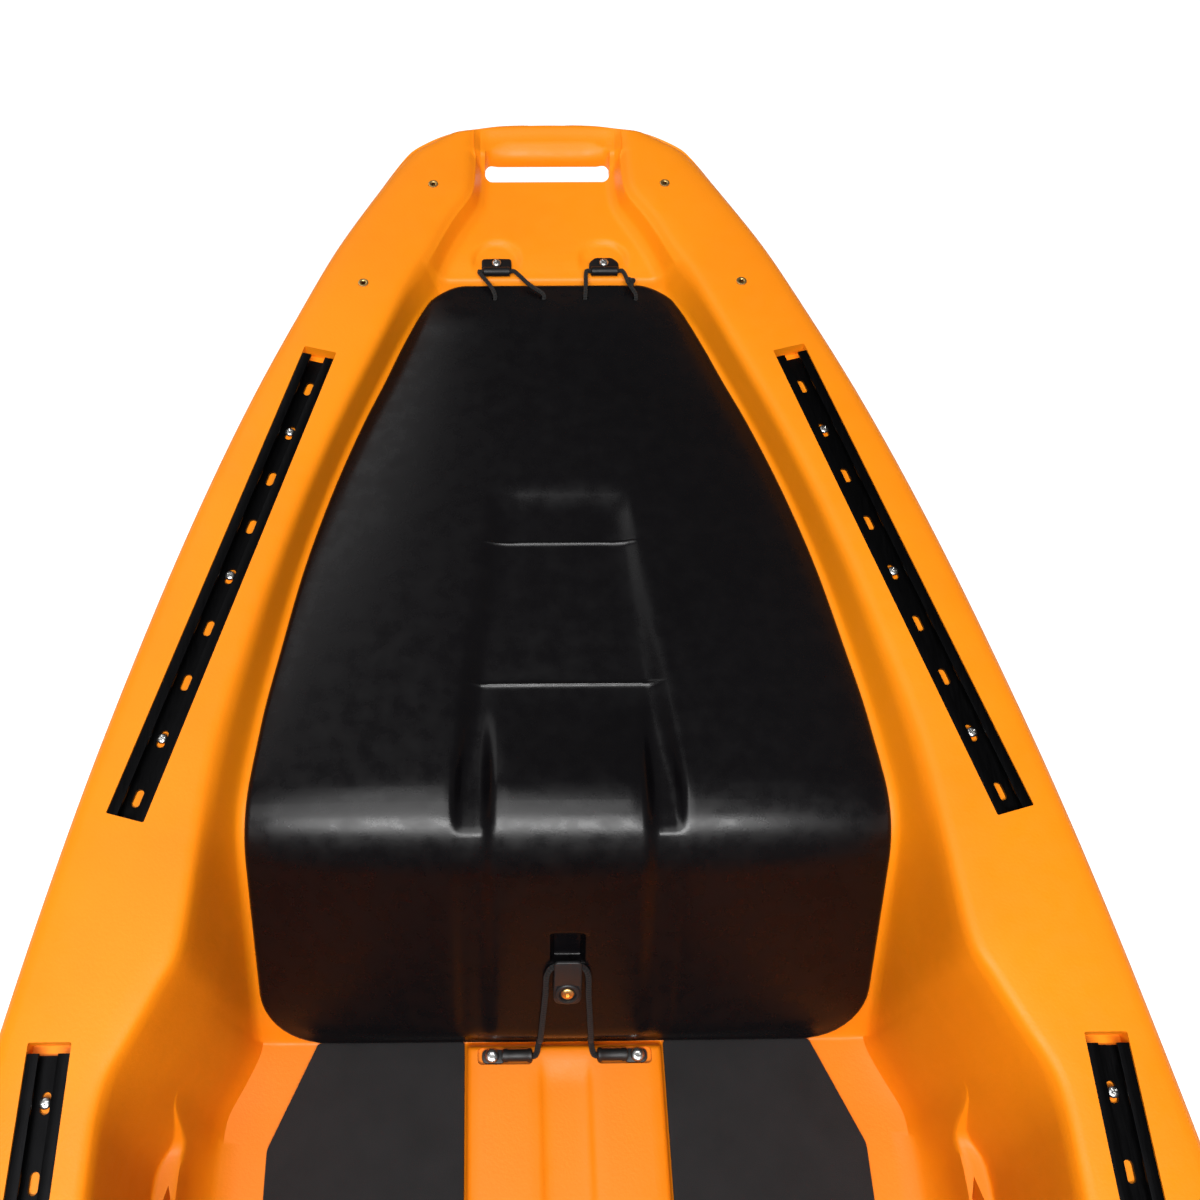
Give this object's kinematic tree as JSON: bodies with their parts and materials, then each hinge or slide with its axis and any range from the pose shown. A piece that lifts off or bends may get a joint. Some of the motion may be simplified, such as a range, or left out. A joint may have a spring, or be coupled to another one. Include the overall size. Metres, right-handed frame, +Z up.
{
  "type": "fishing_kayak",
  "caption": "Sit-on-top fishing kayak: orange moulded hull, black bow hatch on cord hinges with a bungee latch, gear tracks, deck pads, framed mesh seat, rod holders and tank well.",
  "frame": {"origin": "on the ground under the middle of the kayak's length and breadth", "axes": "+X to starboard, +Y to the bow, +Z up"},
  "size_m": [1.0116, 3.66, 0.7606],
  "materials": {
    "orange_shell": "satin",
    "black_shell": "satin",
    "black_rubber": "matte",
    "black_cord": "woven",
    "black_aluminium": "anodised black",
    "steel": "satin",
    "brass": "dull",
    "foam": "grained",
    "mesh_cloth": "open mesh",
    "dark_plastic": "satin"
  },
  "bodies": {
    "hull": {"hull": "orange_shell", "hatch_gasket": "black_rubber", "latch_bungee": "black_cord", "seat_base_frame": "black_aluminium", "seat_base_sling": "mesh_cloth", "tank_bungee_a": "black_cord", "tank_bungee_b": "black_cord", "hinge_clip_left": "dark_plastic", "hinge_screw_left": "steel", "latch_sleeve_left": "black_rubber", "latch_bolt_left": "steel", "deck_pad_left": "foam", "seat_pivot_bolt_left": "steel", "rod_holder_left": "dark_plastic", "carry_handle_base_left": "dark_plastic", "gear_track_bow_left": "black_aluminium", "track_screw_bow_left_1": "steel", "track_screw_bow_left_2": "steel", "track_screw_bow_left_3": "steel", "gear_track_middle_left": "black_aluminium", "track_screw_middle_left_1": "steel", "track_screw_middle_left_2": "steel", "track_screw_middle_left_3": "steel", "brass_insert_front_left": "brass", "brass_insert_rear_left": "brass", "pad_eye_1_left": "dark_plastic", "pad_eye_2_left": "dark_plastic", "pad_eye_3_left": "dark_plastic", "hinge_clip_right": "dark_plastic", "hinge_screw_right": "steel", "latch_sleeve_right": "black_rubber", "latch_bolt_right": "steel", "deck_pad_right": "foam", "seat_pivot_bolt_right": "steel", "rod_holder_right": "dark_plastic", "carry_handle_base_right": "dark_plastic", "gear_track_bow_right": "black_aluminium", "track_screw_bow_right_1": "steel", "track_screw_bow_right_2": "steel", "track_screw_bow_right_3": "steel", "gear_track_middle_right": "black_aluminium", "track_screw_middle_right_1": "steel", "track_screw_middle_right_2": "steel", "track_screw_middle_right_3": "steel", "brass_insert_front_right": "brass", "brass_insert_rear_right": "brass", "pad_eye_1_right": "dark_plastic", "pad_eye_2_right": "dark_plastic", "pad_eye_3_right": "dark_plastic"},
    "bow_hatch": {"bow_hatch": "black_shell", "latch_hook": "dark_plastic", "latch_screw": "brass", "hinge_cord_left": "black_cord", "hinge_cord_right": "black_cord"},
    "seat_back": {"seat_back_frame": "black_aluminium", "seat_back_sling": "mesh_cloth"},
    "carry_handle_left": {"carry_handle_left": "black_rubber"},
    "carry_handle_right": {"carry_handle_right": "black_rubber"},
    "drain_plug": {"drain_plug": "dark_plastic"}
  },
  "joints": [
    {"name": "bow_hatch_hinge", "type": "hinge", "parent": "hull", "child": "bow_hatch", "pos_m": [0, 1.65848, 0.35847], "axis": [-1, 0, 0], "range_deg": [0, 100], "deforming": ["latch_bungee"]},
    {"name": "seat_back_fold", "type": "hinge", "parent": "hull", "child": "seat_back", "pos_m": [0, -0.26369, 0.33], "axis": [-1, 0, 0], "range_deg": [0, 98]},
    {"name": "carry_handle_left_swing", "type": "hinge", "parent": "hull", "child": "carry_handle_left", "pos_m": [-0.4953, 0, 0.27605], "axis": [0, 1, 0], "range_deg": [0, 115]},
    {"name": "carry_handle_right_swing", "type": "hinge", "parent": "hull", "child": "carry_handle_right", "pos_m": [0.4953, 0, 0.27605], "axis": [0, -1, 0], "range_deg": [0, 115]},
    {"name": "drain_plug_turn", "type": "hinge", "parent": "hull", "child": "drain_plug", "pos_m": [0.07, -1.5555, 0.33896], "axis": [0, 0, 1], "continuous": true}
  ]
}
